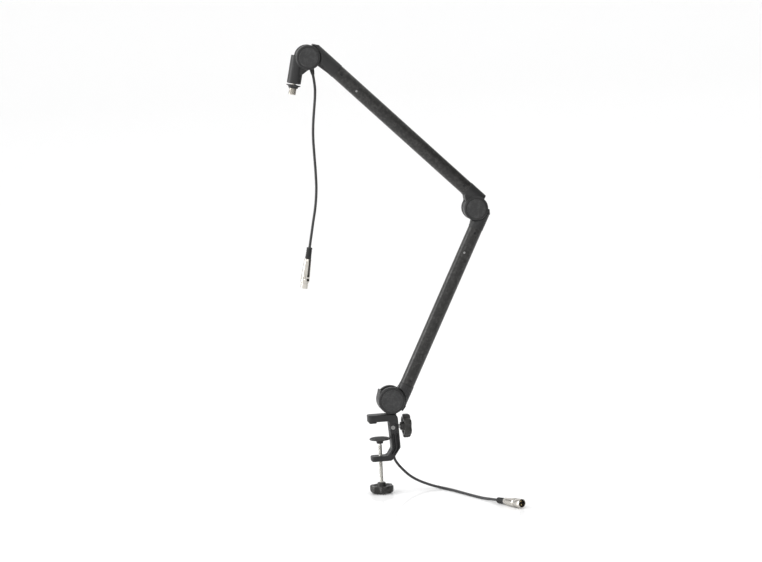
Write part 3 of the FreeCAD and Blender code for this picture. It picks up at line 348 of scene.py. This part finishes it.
LOBES = 6
KNOB_RADIUS = 25.0
KNOB_TOP = 23.0
SCALLOP_AT = 29.8           # from the knob's axis to the middle of a scallop
SCALLOP_RADIUS = 9.0
LOBE_SOFTNESS = 1.4
STEPS_PER_LOBE = 32
BORE_RADIUS = 4.05
BORE_DEPTH = 12.0
SCREW_KNOB_AT = Vector((0, 0, -0.127))
SCREW_KNOB_HUB = 6.0
LOCK_KNOB_AT = Vector((0.0445, 0, -0.0105))
LOCK_KNOB_HUB = 5.5

SCREW_RADIUS = 3.98
SCREW_PITCH = 1.25
SCREW_THREAD_DEPTH = 0.42
BALL_RADIUS = 4.6
BALL_NECK = 3.2
BALL_Z = -40
STUD_RADIUS = 7.92
STUD_PITCH = 0.9407         # 27 turns to the inch
STUD_THREAD_DEPTH = 0.56
STUD_NECK = 4.5
STEPS_PER_PITCH = 10


def ring_mesh(name, rings):
    """A closed skin through rings of equally many points, with a face over each end."""
    mesh = bpy.data.meshes.new(name)
    count = len(rings[0])
    verts = [point for ring in rings for point in ring]
    faces = []
    for row in range(len(rings) - 1):
        for i in range(count):
            j = (i + 1) % count
            a, b = row * count, (row + 1) * count
            faces.append((a + i, a + j, b + j, b + i))
    faces.append(tuple(range(count))[::-1])
    faces.append(tuple((len(rings) - 1) * count + i for i in range(count)))
    mesh.from_pydata(verts, [], faces)
    return mesh


def circle(radius, z, count):
    return [Vector((radius * math.cos(TURN * i / count), radius * math.sin(TURN * i / count), z))
            for i in range(count)]


def lathe(name, profile, count=96):
    """Turns (radius, z) corners. The profile starts and ends on a small flat face."""
    return ring_mesh(name, [circle(radius, z, count) for radius, z in profile])


def hollow_lathe(name, profile, count=96):
    """A turned ring: the profile's ends meet, so there are no end faces."""
    rings = [circle(radius, z, count) for radius, z in profile]
    mesh = ring_mesh(name, rings + [rings[0]])
    edit = bmesh.new()
    edit.from_mesh(mesh)
    edit.faces.ensure_lookup_table()
    bmesh.ops.delete(edit, geom=edit.faces[-2:], context="FACES_ONLY")
    bmesh.ops.remove_doubles(edit, verts=edit.verts, dist=1e-4)
    bmesh.ops.recalc_face_normals(edit, faces=edit.faces)
    edit.to_mesh(mesh)
    edit.free()
    return mesh


def lobed_radius(angle):
    """A circle with six soft-edged scallops cut out of it."""
    off = (angle % (TURN / LOBES)) - TURN / (2 * LOBES)
    reach = SCALLOP_RADIUS ** 2 - (SCALLOP_AT * math.sin(off)) ** 2
    if reach <= 0:
        return KNOB_RADIUS
    cut = SCALLOP_AT * math.cos(off) - math.sqrt(reach)
    return -LOBE_SOFTNESS * math.log(math.exp(-cut / LOBE_SOFTNESS)
                                     + math.exp(-KNOB_RADIUS / LOBE_SOFTNESS))


def knob_mesh(name, hub):
    """A six-lobed hand knob from its hub's face: dished towards the hub, rounded outside."""
    top = KNOB_TOP
    plain = [(AXIS, BORE_DEPTH), (BORE_RADIUS, BORE_DEPTH), (BORE_RADIUS, 0.4), (4.5, 0.0),
             (7.6, 0.0), (8.1, 0.25), (8.4, 0.8), (9.2, hub - 0.8), (9.5, hub + 1.6),
             (10.2, hub + 2.7), (11.4, hub + 3.0), (15.6, hub + 3.0), (17.0, hub + 2.5),
             (17.9, hub + 1.2), (18.5, hub + 0.5)]
    lobed = [(-1.7, hub + 0.35), (-0.8, hub + 0.75), (-0.2, hub + 1.7), (0.0, hub + 3.0),
             (-0.05, top - 8.0), (-0.35, top - 5.5), (-1.2, top - 3.6), (-2.6, top - 2.3),
             (-4.4, top - 1.55)]
    cap = [(15.0, top - 1.1), (12.0, top - 0.55), (8.0, top), (AXIS, top)]
    count = LOBES * STEPS_PER_LOBE
    rings = [circle(radius, z, count) for radius, z in plain]
    for inset, z in lobed:
        ring = []
        for i in range(count):
            angle = TURN * i / count
            radius = lobed_radius(angle) + inset
            ring.append(Vector((radius * math.cos(angle), radius * math.sin(angle), z)))
        rings.append(ring)
    rings += [circle(radius, z, count) for radius, z in cap]
    return ring_mesh(name, rings)


def threaded(name, before, start, end, radius, depth, pitch, after, count):
    """A rolled thread between two plain stretches, its ridge one true helix."""
    rings = [circle(r, z, count) for r, z in before]
    steps = int((end - start) / pitch * STEPS_PER_PITCH)
    for k in range(steps + 1):
        z = start + (end - start) * k / steps
        fade = min(1.0, (z - start) / pitch, (end - z) / pitch)
        ring = []
        for i in range(count):
            angle = TURN * i / count
            wave = 0.5 - 0.5 * math.cos(TURN * z / pitch - angle)
            groove = radius - depth * (1 - fade) - depth * fade * wave
            ring.append(Vector((groove * math.cos(angle), groove * math.sin(angle), z)))
        rings.append(ring)
    return ring_mesh(name, rings + [circle(r, z, count) for r, z in after])


def add_piece(mesh, matrix, node, crease=CREASE):
    """Lays a millimetre mesh in place of a CAD node."""
    mesh.transform(matrix @ Matrix.Scale(MM, 4))
    mesh.polygons.foreach_set("use_smooth", [True] * len(mesh.polygons))
    mesh.set_sharp_from_angle(angle=math.radians(crease))
    mesh.materials.append(MATERIALS[NODE_SLOT[node]])
    return stand_for(in_scene(node + "_shaped", mesh), node)


def baked(piece):
    """Makes the piece's modifiers part of its mesh."""
    graph = bpy.context.evaluated_depsgraph_get()
    mesh = bpy.data.meshes.new_from_object(piece.evaluated_get(graph))
    piece.modifiers.clear()
    piece.data = mesh


def softened(node, voxel=0.00075, rounds=5):
    """The node's own shape with its edges rounded, as casting and moulding leave them."""
    mesh = NODES[node].data.copy()
    mesh.transform(NODES[node].matrix_world)
    piece = in_scene(node + "_shaped", mesh)
    remesh = piece.modifiers.new("remesh", "REMESH")
    remesh.mode = "VOXEL"
    remesh.voxel_size = voxel
    remesh.use_smooth_shade = True
    smooth = piece.modifiers.new("smooth", "SMOOTH")
    smooth.factor = 0.5
    smooth.iterations = rounds
    baked(piece)
    piece.data.materials.clear()
    piece.data.materials.append(MATERIALS[NODE_SLOT[node]])
    return stand_for(piece, node)


def make_knobs():
    add_piece(knob_mesh("screw_knob", SCREW_KNOB_HUB), place(SCREW_KNOB_AT, (0, 0, -1)),
              "screw_knob")
    add_piece(knob_mesh("lock_knob", LOCK_KNOB_HUB), place(LOCK_KNOB_AT, (1, 0, 0)), "lock_knob")


def make_threads():
    """The clamp screw with the ball that carries its pad, and the microphone stud."""
    ball = [(BALL_RADIUS * math.sin(a), BALL_Z - BALL_RADIUS * math.cos(a))
            for a in (math.radians(44 + 13 * i) for i in range(10))]
    shank = [(AXIS, -138.8), (3.95, -138.8), (SCREW_RADIUS, -125.2)]
    neck = [(BALL_NECK, -46.4), (BALL_NECK, -43.4)]
    screw = threaded("clamp_screw", shank, -125.0, -47.2, SCREW_RADIUS, SCREW_THREAD_DEPTH,
                     SCREW_PITCH, neck + ball + [(AXIS, -35.42)], 32)
    add_piece(screw, Matrix.Identity(4), "clamp_screw", FINE_CREASE)
    collar = [(AXIS, 40.2), (STUD_NECK, 40.2), (STUD_NECK, 59.4), (7.3, 59.4), (7.6, 59.7)]
    tip = [(7.2, 79.9), (6.8, 80.4), (6.2, 80.5), (AXIS, 80.5)]
    stud = threaded("mic_stud", collar, 60.0, 79.5, STUD_RADIUS, STUD_THREAD_DEPTH,
                    STUD_PITCH, tip, 64)
    head_frame = pivot_frame(HEAD, STUD_WAY)
    add_piece(stud, head_frame @ Matrix.Translation((STUD_OFFSET, 0, 0)), "mic_stud", FINE_CREASE)


# ---- connectors ---------------------------------------------------------------------
BOOT_END = 24.0
BOOT_RADIUS = 5.8           # at the lead's end; it widens by BOOT_FLARE towards the shell
BOOT_FLARE = 0.6
BOOT_GROOVES = 4
BOOT_GROOVE_PITCH = 4.0
SHELL_RADIUS = 9.3
SHELL_RESTS_AT = 54.0       # where the cup is as wide as SHELL_RADIUS, along the plug
LATCH_TURN = math.radians(35)
LATCH_WINDOW_AT = (0, -10.3, 60.5)
LATCH_WINDOW_SIZE = (5.0, 6.0, 9.4)


def boot_profile():
    """A strain relief with four rounded grooves."""
    profile = [(AXIS, 0.0), (5.3, 0.0), (5.65, 0.15), (BOOT_RADIUS, 0.5)]
    for i in range(BOOT_GROOVES):
        z = BOOT_GROOVE_PITCH * (i + 1)
        radius = BOOT_RADIUS + BOOT_FLARE * z / BOOT_END
        profile += [(radius, z), (radius - 0.35, z + 0.25), (radius - 0.7, z + 0.6),
                    (radius - 0.7, z + 1.2), (radius - 0.35, z + 1.55), (radius, z + 1.8)]
    return profile + [(6.4, 23.7), (6.2, BOOT_END), (AXIS, BOOT_END)]


def socket_shell_profile():
    """The female connector's shell: a taper, a grooved barrel and a narrower nose."""
    return [(4.8, 24.02), (6.9, 24.02), (7.1, 24.4), (7.6, 33.0), (8.2, 44.0), (8.75, 55.0),
            (9.0, 58.5), (9.25, 60.5), (SHELL_RADIUS, 61.5), (SHELL_RADIUS, 64.2), (9.15, 64.4),
            (8.8, 64.5), (8.8, 65.1), (9.15, 65.2), (SHELL_RADIUS, 65.4), (SHELL_RADIUS, 71.6),
            (9.15, 72.4), (8.7, 72.95), (7.7, 73.0), (7.6, 73.2), (7.6, 85.3), (7.4, 85.8),
            (7.0, 86.0), (6.4, 86.0), (6.4, 38.0), (4.8, 34.0)]


def pin_shell_profile():
    """The male connector's cup, open at its far end."""
    return [(4.8, 24.02), (6.9, 24.02), (7.1, 24.4), (7.7, 34.0), (8.4, 45.0), (8.9, 51.0),
            (9.2, 53.0), (SHELL_RADIUS, 54.0), (SHELL_RADIUS, 60.0), (9.15, 60.2), (8.8, 60.3),
            (8.8, 60.9), (9.15, 61.0), (SHELL_RADIUS, 61.2), (SHELL_RADIUS, 79.2), (9.1, 79.8),
            (8.7, 80.0), (7.95, 80.0), (7.75, 79.8), (7.75, 44.0), (4.8, 36.0)]


def cut_latch_window(shell, lie):
    """Cuts the slot that the latch shows through; `lie` is where the connector lies."""
    window = bmesh.new()
    bmesh.ops.create_cube(window, size=1.0, matrix=Matrix.Rotation(LATCH_TURN, 4, "Z")
                          @ Matrix.Translation(LATCH_WINDOW_AT)
                          @ Matrix.Diagonal((*LATCH_WINDOW_SIZE, 1)))
    mesh = bpy.data.meshes.new("latch_window")
    window.to_mesh(mesh)
    window.free()
    mesh.transform(lie @ Matrix.Scale(MM, 4))
    cutter = in_scene("latch_window", mesh)
    cut = shell.modifiers.new("window", "BOOLEAN")
    cut.operation = "DIFFERENCE"
    cut.object = cutter
    baked(shell)
    bpy.data.objects.remove(cutter)
    shell.data.set_sharp_from_angle(angle=math.radians(CREASE))


def make_connectors():
    """The shaped pieces on each lead's far end, by lead."""
    hang = place(HEAD_CONNECTOR_AT, HEAD_CONNECTOR_AT - Vector(HEAD_LEAD_ROUTE[-2]))
    boot = add_piece(lathe("head_plug_boot", boot_profile()), hang, "head_plug_boot")
    shell = add_piece(hollow_lathe("head_plug_shell", socket_shell_profile()), hang,
                      "head_plug_shell")
    cut_latch_window(shell, hang)
    flat_way = TAIL_CONNECTOR_AT - Vector(TAIL_LEAD_ROUTE[-2])
    flat_way.z = 0
    rise = (SHELL_RADIUS - BOOT_RADIUS) / SHELL_RESTS_AT
    lie = place(TAIL_CONNECTOR_AT, flat_way.normalized() + Vector((0, 0, rise)))
    rear_boot = add_piece(lathe("tail_plug_boot", boot_profile()), lie, "tail_plug_boot")
    cup = add_piece(hollow_lathe("tail_plug_shell", pin_shell_profile()), lie, "tail_plug_shell")
    return {"head": [boot, shell], "tail": [rear_boot, cup]}


# ---- cords --------------------------------------------------------------------------
LEAD_DIAMETER = 0.0055
HEAD_EXIT = HEAD + Vector((0.0086, 0, -0.027))
HEAD_EXIT_WAY = Vector((0.15, 0, -0.99)).normalized()
HEAD_GLAND_END = HEAD_EXIT + HEAD_EXIT_WAY * 0.009
HEAD_CONNECTOR_AT = Vector((-0.1236, 0.036, 0.3731))
HEAD_LEAD_ROUTE = [
    HEAD_GLAND_END,
    HEAD_GLAND_END + HEAD_EXIT_WAY * 0.022,
    (-0.1022, 0.005, 0.6885),
    (-0.1043, 0.014, 0.6600),
    (-0.1066, 0.0205, 0.6310),
    (-0.1072, 0.027, 0.6003),
    (-0.1055, 0.031, 0.5657),
    (-0.1038, 0.034, 0.5293),
    (-0.1034, 0.036, 0.4930),
    (-0.1071, 0.037, 0.4569),
    (-0.1137, 0.037, 0.4249),
    (-0.1190, 0.0365, 0.3970),
    HEAD_CONNECTOR_AT,
]
GLAND_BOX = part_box("tail_gland")
TAIL_GLAND_END = Vector(((GLAND_BOX[0].x + GLAND_BOX[1].x) / 2,
                         (GLAND_BOX[0].y + GLAND_BOX[1].y) / 2, GLAND_BOX[0].z))
LEAD_LIES = FLOOR_Z + LEAD_DIAMETER / 2
TAIL_CONNECTOR_AT = Vector((0.2085, -0.1845, FLOOR_Z + 0.0059))
TAIL_LEAD_ROUTE = [
    TAIL_GLAND_END,
    (TAIL_GLAND_END.x, TAIL_GLAND_END.y, -0.080),
    (0.0380, 0.0222, -0.0932),
    (0.0505, 0.0220, -0.1085),
    (0.0660, 0.0195, -0.1240),
    (0.0860, 0.0145, -0.1355),
    (0.1080, 0.0040, -0.1435),
    (0.1270, -0.0100, LEAD_LIES),
    (0.1395, -0.0320, LEAD_LIES),
    (0.1515, -0.0600, LEAD_LIES),
    (0.1630, -0.0885, LEAD_LIES),
    (0.1745, -0.1150, LEAD_LIES),
    (0.1865, -0.1410, LEAD_LIES),
    (0.2000, -0.1660, LEAD_LIES + 0.0018),
    TAIL_CONNECTOR_AT,
]


def make_lead(name, route, node):
    """A round jacket along one smooth curve through the route."""
    curve = bpy.data.curves.new(name, "CURVE")
    curve.dimensions = "3D"
    spline = curve.splines.new("NURBS")
    spline.points.add(len(route) - 1)
    for point, at in zip(spline.points, route):
        point.co = (*at, 1)
    spline.order_u = 3
    spline.use_endpoint_u = True
    spline.resolution_u = 16
    curve.bevel_depth = LEAD_DIAMETER / 2
    curve.bevel_resolution = 8
    curve.use_fill_caps = True
    curve.materials.append(MATERIALS["lead_black"])
    return stand_for(in_scene(name, curve), node)


def make_leads(plugs):
    head = make_lead("head_lead_soft", HEAD_LEAD_ROUTE, "head_lead")
    tail = make_lead("tail_lead_soft", TAIL_LEAD_ROUTE, "tail_lead")


# ---- stage --------------------------------------------------------------------------
BACKDROP_HALF_WIDTH = 12.0
BACKDROP_PROFILE = [(-9.0, 0.0), (3.0, 0.0), (4.2, 0.10), (5.2, 0.45), (6.0, 1.1), (6.5, 2.0),
                    (6.7, 3.2), (6.7, 9.0)]     # (y, height over the floor)
FLAG_X = 1.5
FLAG_Y = (-2.6, 0.9)
FLAG_Z = (-0.1, 1.6)
LIGHT_AIM = (0.05, 0, 0.35)     # the middle of the arm
WORLD_STRENGTH = 1.12


def stage_coat(name, ior, colour, scale, detail, roughness):
    """A plain set surface, its roughness a little uneven."""
    coat = Coat(name, ior=ior)
    coat.shader.inputs["Base Color"].default_value = (*colour, 1)
    rough = coat.ranged(coat.noise(scale, detail), 0.3, 0.7, *roughness)
    coat.link(rough, coat.shader.inputs["Roughness"])
    return coat.material


def make_stage():
    """A pale floor that curves up into the backdrop, with a faint gloss."""
    mesh = bpy.data.meshes.new("backdrop")
    verts = [(x, y, height + FLOOR_Z) for y, height in BACKDROP_PROFILE
             for x in (-BACKDROP_HALF_WIDTH, BACKDROP_HALF_WIDTH)]
    faces = [(2 * i, 2 * i + 1, 2 * i + 3, 2 * i + 2) for i in range(len(BACKDROP_PROFILE) - 1)]
    mesh.from_pydata(verts, [], faces)
    mesh.polygons.foreach_set("use_smooth", [True] * len(faces))
    mesh.materials.append(stage_coat("backdrop", 1.18, (0.93, 0.93, 0.93), 3, 2, (0.05, 0.08)))
    in_scene("backdrop", mesh)


def make_flag():
    """A dark board beside the set, seen only in reflections: it darkens the right sides."""
    mesh = bpy.data.meshes.new("flag")
    corners = [(FLAG_X, FLAG_Y[j], FLAG_Z[k]) for j, k in ((0, 0), (1, 0), (1, 1), (0, 1))]
    mesh.from_pydata(corners, [], [(0, 1, 2, 3)])
    mesh.materials.append(stage_coat("flag", 1.5, (0.01, 0.01, 0.01), 20, 3, (0.85, 0.95)))
    flag = in_scene("flag", mesh)
    flag.visible_camera = False
    flag.visible_diffuse = False
    flag.visible_shadow = False


def area_light(name, at, size, power):
    data = bpy.data.lights.new(name, "AREA")
    data.shape = "RECTANGLE"
    data.size, data.size_y = size
    data.energy = power
    aim = (Vector(LIGHT_AIM) - Vector(at)).to_track_quat("-Z", "Y").to_matrix().to_4x4()
    in_scene(name, data).matrix_world = Matrix.Translation(at) @ aim


def make_light():
    """An even white studio, a soft key from the front left and a strip on the left."""
    world = bpy.data.worlds.new("studio")
    world.use_nodes = True
    background = world.node_tree.nodes["Background"]
    background.inputs["Color"].default_value = (1, 1, 1, 1)
    background.inputs["Strength"].default_value = WORLD_STRENGTH
    bpy.context.scene.world = world
    area_light("key", (-1.9, -3.2, 2.4), (1.6, 1.4), 12)
    area_light("left_strip", (-2.3, 0.3, 0.7), (0.4, 2.4), 40)
    bpy.context.scene.view_settings.view_transform = "Standard"


# ---- the whole scene ----------------------------------------------------------------
make_camera()
MATERIALS = make_materials()
dress_nodes()
make_knobs()
make_threads()
make_leads(make_connectors())
for moulding in ("clamp_frame", "base_knuckle", "base_bracket", "elbow_bracket", "elbow_knuckle",
                 "head_bracket", "head_knuckle"):
    softened(moulding)
make_stage()
make_flag()
make_light()
